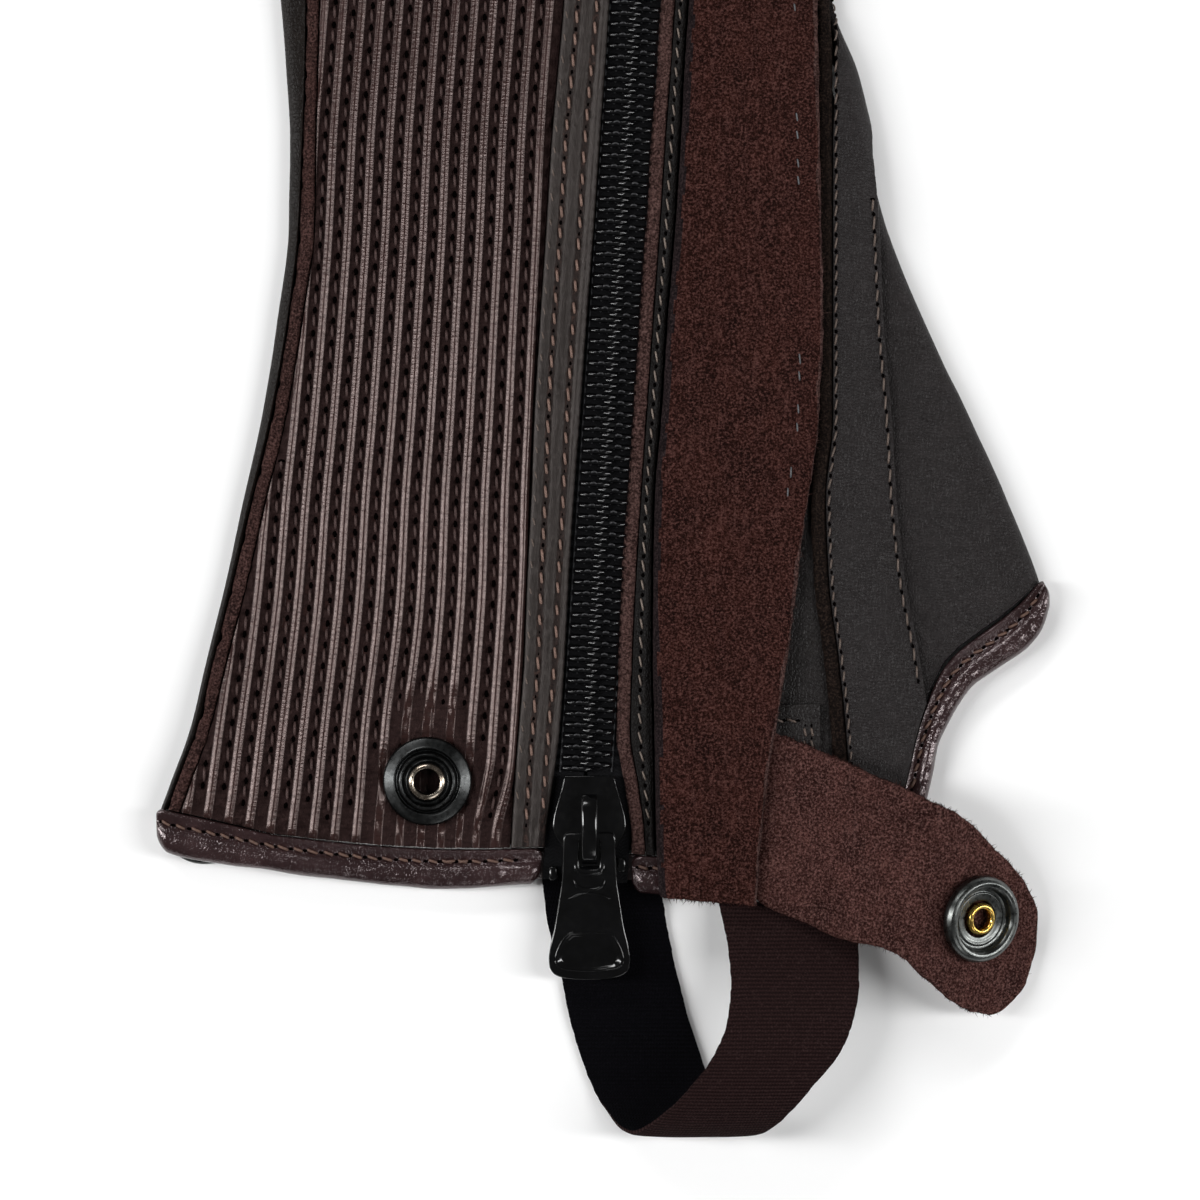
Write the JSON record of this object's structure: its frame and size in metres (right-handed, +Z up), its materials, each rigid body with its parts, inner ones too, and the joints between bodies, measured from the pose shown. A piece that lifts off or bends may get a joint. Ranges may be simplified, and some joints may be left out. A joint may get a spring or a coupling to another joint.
{
  "type": "half chap",
  "caption": "Leather half chap for the right leg, laid flat with its outer side up: zip closed, cover flap turned back, snap tab open, elastic foot strap.",
  "frame": {"origin": "middle of the footprint on the surface that it lies on", "axes": "+Z up from that surface; +Y from the hem to the knee; +X from the heel to the toe"},
  "size_m": [0.1942, 0.4706, 0.0197],
  "materials": {
    "leather_smooth": "matte, fine grain",
    "leather_ribs": "corded ribs, soft sheen",
    "leather_binding": "glossy, softly wrinkled",
    "suede": "napped flesh side",
    "suede_edge": "raw napped edge",
    "zip_tape": "woven, matte",
    "zip_coil": "glossy nylon coil",
    "zip_black": "gloss black",
    "gunmetal": "dark plated, polished",
    "brass": "plated",
    "elastic": "ribbed elastic webbing"
  },
  "bodies": {
    "chap": {"inner_panel": "leather_smooth", "back_edge_strip": "suede_edge", "stretch_panel": "leather_ribs", "zip_band": "leather_smooth", "zip_tape_back": "zip_tape", "zip_tape_front": "zip_tape", "zip_chain": "zip_coil", "zip_edge_strip": "suede_edge", "zip_facing": "leather_smooth", "zip_top_stop": "zip_black", "zip_stop_back": "gunmetal", "zip_stop_front": "gunmetal", "zip_slider": "zip_black", "leg_panel": "leather_smooth", "front_edge_strip": "suede_edge", "front_panel": "leather_smooth", "instep_gusset": "leather_smooth", "zip_flap": "suede", "tab_root": "leather_smooth", "snap_tab": "suede", "snap_socket": "gunmetal", "snap_eyelet": "brass", "tab_snap_cap": "gunmetal", "stud": "gunmetal", "heel_snap_cap": "gunmetal", "hem_binding_heel": "leather_binding", "hem_binding_toe": "leather_binding", "hem_binding_inner": "leather_binding", "top_binding_back": "leather_binding", "top_binding_front": "leather_binding", "top_binding_inner": "leather_binding", "foot_strap": "elastic"},
    "pull": {"zip_pull": "zip_black"}
  },
  "joints": [
    {"name": "pull_hinge", "type": "hinge", "parent": "chap", "child": "pull", "pos_m": [0.00563, -0.17573, 0.0081], "axis": [-1, 0, 0], "range_deg": [0, 150]}
  ]
}
